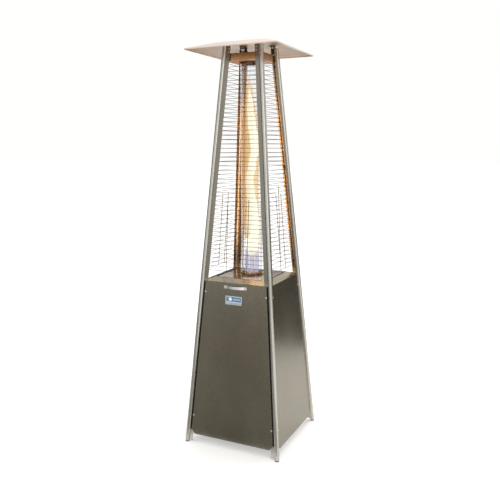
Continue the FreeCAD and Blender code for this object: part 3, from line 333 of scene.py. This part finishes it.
FINISHES = {
    "leg_steel": leg_finish,
    "cabinet_steel": lambda: brushed("cabinet_steel", (0.225, 0.205, 0.160), (0.305, 0.280, 0.225), 0.25, "z",
                                     (0.28, 0.24, 0.185)),
    # the deck's sloped border, outside its flat middle, is painted darker as shade
    "deck_steel": lambda: brushed("deck_steel", (0.50, 0.42, 0.34), (0.70, 0.60, 0.50), 0.17, "x",
                                  (0.66, 0.50, 0.40), border=(DECK_FLAT, (0.36, 0.32, 0.22))),
    "pan_steel": lambda: heated("pan_steel", (0.40, 0.28, 0.20), (0.46, 0.27, 0.13), (0.30, 0.15, 0.06),
                                PAN_LOW.z, PAN_HIGH.z),
    "hood_steel": lambda: brushed("hood_steel", (0.72, 0.62, 0.54), (0.84, 0.75, 0.68), 0.36, "xy",
                                  (0.82, 0.64, 0.54)),
    "handle_steel": lambda: brushed("handle_steel", (0.86, 0.83, 0.81), (0.97, 0.96, 0.95), 0.42, "x"),
    "burner_steel": lambda: plated("burner_steel", (0.07, 0.06, 0.06), (0.22, 0.17, 0.13), 0.48),
    "bracket_steel": lambda: plated("bracket_steel", (0.035, 0.028, 0.022), (0.11, 0.085, 0.06), 0.45),
    "inner_steel": lambda: plated("inner_steel", (0.36, 0.36, 0.34), (0.52, 0.52, 0.50), 0.42, 120.0),
    "screw_steel": lambda: plated("screw_steel", (0.60, 0.58, 0.55), (0.82, 0.81, 0.78), 0.25, 500.0),
    "wire": lambda: plated("wire", (0.045, 0.030, 0.022), (0.16, 0.105, 0.07), 0.34, 180.0),
    "glass": quartz,
    "foot_plastic": lambda: moulded("foot_plastic", (0.05, 0.05, 0.048), (0.09, 0.09, 0.086), 0.55),
    "magnet_plastic": lambda: moulded("magnet_plastic", (0.015, 0.015, 0.016), (0.04, 0.04, 0.04), 0.5),
    "knob_plastic": lambda: moulded("knob_plastic", (0.012, 0.012, 0.014), (0.03, 0.03, 0.032), 0.42),
    "button_plastic": lambda: moulded("button_plastic", (0.42, 0.02, 0.015), (0.58, 0.05, 0.035), 0.3, 0.5),
    "label_film": label_film,
    "brass": lambda: plated("brass", (0.56, 0.38, 0.14), (0.80, 0.60, 0.28), 0.3, 300.0),
    "copper": lambda: plated("copper", (0.50, 0.22, 0.12), (0.82, 0.45, 0.30), 0.32, 300.0),
    "gas_pipe_metal": lambda: plated("gas_pipe_metal", (0.52, 0.52, 0.52), (0.74, 0.74, 0.74), 0.34, 200.0),
    "valve_metal": lambda: plated("valve_metal", (0.40, 0.40, 0.39), (0.58, 0.58, 0.57), 0.5, 420.0),
    "ceramic": lambda: moulded("ceramic", (0.72, 0.68, 0.60), (0.86, 0.84, 0.78), 0.28, 0.6),
}


def dress_nodes():
    """Gives each CAD node the material of its slot."""
    made = {}
    for entry in frame["record"]["subparts"]:
        slot = entry["material_slot"]
        if slot not in made:
            made[slot] = FINISHES[slot]().material
        mesh = NODES[entry["node"]].data
        mesh.materials.clear()
        mesh.materials.append(made[slot])


# ---------------------------------------------------------------- mesh helpers
def mesh_object(name, vertices, faces, material, smooth=True):
    mesh = bpy.data.meshes.new(name)
    mesh.from_pydata(vertices, [], faces)
    mesh.validate()
    mesh.update()
    piece = bpy.data.objects.new(name, mesh)
    bpy.context.scene.collection.objects.link(piece)
    mesh.materials.append(material)
    if smooth:
        mesh.shade_smooth()
    return piece


# ---------------------------------------------------------------- flame
FLAME_LOW = BURNER_TOP + 0.003
FLAME_LIMIT = GLASS_RADIUS - 0.0055        # gas stays this near the axis, clear of the glass wall
SIDEWAYS = Vector((math.cos(VIEW_AZIMUTH), math.sin(VIEW_AZIMUTH), 0))


def fire(name, hot, warm, glow, solid, lick=(26.0, 0.3, 0.6, 1.2), low=0.12, high=0.75):
    """Glowing gas: U of the map runs from its edge (0) to its spine (1), so it thins out sideways."""
    shade = Shade(name)
    split = shade.node("ShaderNodeSeparateXYZ")
    shade.join(shade.texture["UV"], split.inputs[0])
    scale, noise_low, noise_high, gain = lick
    waver = shade.noise(scale, 3.0, 0.55, (1, 1, 0.22))
    level = shade.maths("MULTIPLY", split.outputs["X"], shade.span(waver, noise_low, noise_high, 0.55, gain))
    level = shade.maths("MULTIPLY", level, split.outputs["Y"])
    colour = shade.mix(shade.span(level, low, high), warm, hot)
    made = shade.node("ShaderNodeBsdfPrincipled")
    made.inputs["Base Color"].default_value = (0, 0, 0, 1)
    made.inputs["Specular IOR Level"].default_value = 0.0
    made.inputs["Roughness"].default_value = 1.0
    shade.put(made, "Emission Color", colour)
    made.inputs["Emission Strength"].default_value = glow
    shade.put(made, "Alpha", shade.span(level, 0.02, high, 0.0, solid))
    shade.join(made.outputs[0], shade.out.inputs["Surface"])
    return shade.material


def smooth_between(stations, height):
    """Value of (height, value, ...) stations at a height, eased between neighbours."""
    for low, high in zip(stations, stations[1:]):
        if height <= high[0]:
            share = max(0.0, (height - low[0]) / (high[0] - low[0]))
            share = share * share * (3 - 2 * share)
            return [a + (b - a) * share for a, b in zip(low[1:], high[1:])]
    return list(stations[-1][1:])


def spine(side):
    """Heat across a tongue: side runs from -1 at its left edge to 1 at its right edge."""
    return 1 - abs(side) ** 2.6


def left_rim(side):
    """Heat that is strongest near the left edge of a tongue and fades toward the right."""
    return (0.10 + 0.90 * (0.5 - 0.5 * side) ** 1.6) * (1 - abs(side) ** 9)


def tongue(name, material, stations, depth, steps=110, ring=32, fade_low=0.05, fade_high=0.12,
           heat=spine):
    """Closed body of gas. Stations are (height, sideways, half width); depth is thickness over width."""
    low, high = stations[0][0], stations[-1][0]
    turn = VIEW_AZIMUTH
    vertices, heats, faces = [], [], []
    for i in range(steps + 1):
        share = i / steps
        z = low + (high - low) * share
        offset, half_width = smooth_between(stations, z)
        fade = max(0.0, min(1.0, share / fade_low, (1 - share) / fade_high))
        for k in range(ring):
            a = 2 * math.pi * k / ring
            u, v = math.cos(a) * half_width, math.sin(a) * half_width * depth
            x = SIDEWAYS.x * offset + u * math.cos(turn) - v * math.sin(turn)
            y = SIDEWAYS.y * offset + u * math.sin(turn) + v * math.cos(turn)
            reach = math.hypot(x, y)
            if reach > FLAME_LIMIT:
                x, y = x * FLAME_LIMIT / reach, y * FLAME_LIMIT / reach
            vertices.append((x, y, z))
            heats.append((heat(math.cos(a)), fade))
    for i in range(steps):
        for k in range(ring):
            n = (k + 1) % ring
            faces.append((i * ring + k, i * ring + n, (i + 1) * ring + n, (i + 1) * ring + k))
    faces.append(tuple(reversed(range(ring))))
    faces.append(tuple(range(steps * ring, (steps + 1) * ring)))
    piece = mesh_object(name, vertices, faces, material)
    layer = piece.data.uv_layers.new(name="heat")
    for loop in piece.data.loops:
        layer.data[loop.index].uv = heats[loop.vertex_index]
    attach(piece, "root")
    piece.visible_shadow = False
    piece.visible_diffuse = False


# stations of each tongue: (height, sideways from the axis, half width)
WRAP_STATIONS = [(1.16, -0.006, 0.028), (1.32, -0.014, 0.038), (1.50, -0.020, 0.038), (1.70, -0.018, 0.038),
                 (1.85, -0.014, 0.038), (2.00, -0.010, 0.028), (2.10, -0.012, 0.010)]
MANTLE_STATIONS = [(1.12, 0.004, 0.040), (1.24, 0.004, 0.047), (1.42, 0.002, 0.045), (1.60, 0.004, 0.043),
                   (1.76, 0.004, 0.042), (1.90, -0.002, 0.036), (2.04, -0.010, 0.022), (2.16, -0.014, 0.004)]
CORE_STATIONS = [(1.10, 0.004, 0.034), (1.20, 0.004, 0.044), (1.30, 0.006, 0.042), (1.40, 0.005, 0.034),
                 (1.48, -0.004, 0.030), (1.56, -0.009, 0.029), (1.64, 0.004, 0.027), (1.72, 0.018, 0.026),
                 (1.80, 0.014, 0.027), (1.88, 0.002, 0.026), (1.97, -0.006, 0.021), (2.10, -0.012, 0.006)]
VEIL_STATIONS = [(FLAME_LOW, 0.002, 0.042), (1.06, 0.002, 0.048), (1.18, 0.002, 0.044)]
JET_PLACES = (-0.030, 0.033, 0.002)        # blue columns, sideways from the axis


def build_flame():
    core = fire("fire_core", (1.0, 0.97, 0.76), (1.0, 0.66, 0.27), glow=1.25, solid=1.0,
                lick=(20.0, 0.3, 0.6, 1.35), low=0.12, high=0.50)
    mantle = fire("fire_mantle", (0.98, 0.72, 0.36), (0.86, 0.48, 0.17), glow=0.95, solid=0.80,
                  lick=(24.0, 0.3, 0.65, 1.2))
    wrap = fire("fire_wrap", (0.84, 0.44, 0.14), (0.62, 0.30, 0.10), glow=0.85, solid=0.72,
                lick=(20.0, 0.3, 0.65, 1.1))
    blue = fire("fire_blue", (0.56, 0.57, 0.86), (0.34, 0.33, 0.58), glow=0.95, solid=0.66,
                lick=(60.0, 0.3, 0.6, 1.1))
    tongue("flame_wrap", wrap, WRAP_STATIONS, depth=1.0, heat=left_rim)
    tongue("flame_mantle", mantle, MANTLE_STATIONS, depth=0.12)
    tongue("flame_core", core, CORE_STATIONS, depth=0.8)
    for i, place in enumerate(JET_PLACES):
        stations = [(FLAME_LOW, place, 0.010), (1.03, place, 0.014), (1.08, place, 0.014),
                    (1.13, place * 0.9, 0.012), (1.18, place * 0.8, 0.004)]
        tongue("flame_blue_%d" % i, blue, stations, depth=0.9, steps=40, ring=20,
               fade_low=0.08, fade_high=0.35)
    veil = fire("fire_veil", (0.64, 0.54, 0.60), (0.46, 0.38, 0.45), glow=0.9, solid=0.42,
                lick=(40.0, 0.3, 0.6, 1.1))
    tongue("flame_veil", veil, VEIL_STATIONS, depth=0.9, steps=40, ring=28, fade_high=0.4)


# ---------------------------------------------------------------- studio
FLOOR_REACH, CARD_Z = 60.0, 0.004          # the floor runs out of sight; its card lies just above it
GLOW_COUNT, GLOW_LOW, GLOW_STEP = 8, 1.10, 0.12
GLOW_POWER, GLOW_RADIUS, GLOW_COLOUR = 1.6, 0.03, (1.0, 0.52, 0.17)


def point_light(name, place, power, colour, radius):
    data = bpy.data.lights.new(name, "POINT")
    data.energy = power
    data.color = colour
    data.shadow_soft_size = radius
    lamp = bpy.data.objects.new(name, data)
    lamp.location = place
    lamp.visible_camera = False
    lamp.visible_transmission = False
    bpy.context.scene.collection.objects.link(lamp)


def soft_box(name, place, target, width, height, power, colour=(1, 1, 1)):
    data = bpy.data.lights.new(name, "AREA")
    data.shape = "RECTANGLE"
    data.size, data.size_y = width, height
    data.energy = power
    data.color = colour
    lamp = bpy.data.objects.new(name, data)
    lamp.location = place
    lamp.rotation_mode = "QUATERNION"
    lamp.rotation_quaternion = (Vector(target) - Vector(place)).to_track_quat("-Z", "Y")
    bpy.context.scene.collection.objects.link(lamp)


def flag(name, corners, colour):
    """Studio card seen only in the reflections of the metal, so that it shades without showing."""
    shade = Shade(name + "_cloth")
    weave = shade.noise(30.0, 3.0, 0.6)
    tone = shade.mix(shade.span(weave, 0.3, 0.7), colour, tuple(c * 1.35 for c in colour))
    shade.surface(Base_Color=tone, Roughness=0.9)
    card = mesh_object(name, corners, [(0, 1, 2, 3)], shade.material, smooth=False)
    card.visible_camera = False
    card.visible_shadow = False
    card.visible_diffuse = False
    card.visible_transmission = False


def build_studio():
    floor_shade = Shade("studio_floor")
    speck = floor_shade.noise(5.0, 4.0, 0.6)
    tone = floor_shade.mix(floor_shade.span(speck, 0.3, 0.7), (0.90, 0.895, 0.885),
                           (0.94, 0.935, 0.93))
    floor_shade.surface(Base_Color=tone, Roughness=0.8, Emission_Color=(1.0, 1.0, 0.99),
                        Emission_Strength=0.28)
    corners = [(x * FLOOR_REACH, y * FLOOR_REACH, 0) for x, y in ((-1, -1), (1, -1), (1, 1), (-1, 1))]
    floor = mesh_object("studio_floor", corners, [(0, 1, 2, 3)], floor_shade.material, smooth=False)
    world = bpy.data.worlds.new("studio_world")
    world.use_nodes = True
    bpy.context.scene.world = world
    back = world.node_tree.nodes["Background"]
    back.inputs["Color"].default_value = (1.0, 1.0, 0.99, 1.0)
    back.inputs["Strength"].default_value = 1.0
    bpy.context.scene.view_settings.view_transform = "Standard"
    soft_box("key_light", (3.4, -3.0, 2.8), (0, 0, 1.2), width=1.6, height=2.6, power=22,
             colour=(1.0, 0.98, 0.95))
    soft_box("top_light", (0.4, 1.0, 5.0), (0, 0, 1.5), width=2.6, height=2.6, power=40)
    for i in range(GLOW_COUNT):
        place = (0, 0, GLOW_LOW + GLOW_STEP * i)
        point_light("flame_glow_%d" % i, place, GLOW_POWER, GLOW_COLOUR, GLOW_RADIUS)
    flag("flag_floor", [(-14.0, -18.0, CARD_Z), (1.2, -18.0, CARD_Z), (1.2, -0.42, CARD_Z),
                        (-14.0, -0.42, CARD_Z)], (0.29, 0.285, 0.265))
    flag("flag_left", [(-2.4, -2.0, 0.01), (-2.4, 1.6, 0.01), (-2.4, 1.6, 3.2), (-2.4, -2.0, 3.2)],
         (0.10, 0.10, 0.09))
    flag("flag_right", [(3.2, -0.6, 0.6), (3.2, 1.6, 0.6), (3.2, 1.6, 3.2), (3.2, -0.6, 3.2)],
         (0.34, 0.33, 0.30))
    flag("flag_back", [(-6.0, 1.95, 0.01), (5.0, 1.95, 0.01), (5.0, 1.95, 1.45), (-6.0, 1.95, 1.45)],
         (0.085, 0.08, 0.068))


# ---------------------------------------------------------------- camera
CAMERA_DISTANCE, CAMERA_HEIGHT = 3.5658, 1.7311
CAMERA_PITCH = math.radians(-9.425)
CAMERA_ROLL = math.radians(-0.157)
CAMERA_LENS, SENSOR = 43.78, 36.0
CAMERA_SHIFT_X = -0.0033


def build_camera():
    data = bpy.data.cameras.new("camera")
    data.sensor_width = SENSOR
    data.lens = CAMERA_LENS
    data.shift_x = CAMERA_SHIFT_X
    camera = bpy.data.objects.new("camera", data)
    bpy.context.scene.collection.objects.link(camera)
    place = Vector((math.sin(VIEW_AZIMUTH), -math.cos(VIEW_AZIMUTH), 0)) * CAMERA_DISTANCE
    camera.location = place + Vector((0, 0, CAMERA_HEIGHT))
    ahead = Vector((-math.sin(VIEW_AZIMUTH) * math.cos(CAMERA_PITCH),
                    math.cos(VIEW_AZIMUTH) * math.cos(CAMERA_PITCH), math.sin(CAMERA_PITCH)))
    turn = ahead.to_track_quat("-Z", "Y").to_matrix() @ Matrix.Rotation(CAMERA_ROLL, 3, "Z")
    camera.rotation_mode = "QUATERNION"
    camera.rotation_quaternion = turn.to_quaternion()
    bpy.context.scene.camera = camera


# ---------------------------------------------------------------- make the scene
build_camera()
dress_nodes()
NODES["glass_tube"].visible_shadow = False
build_flame()
build_studio()
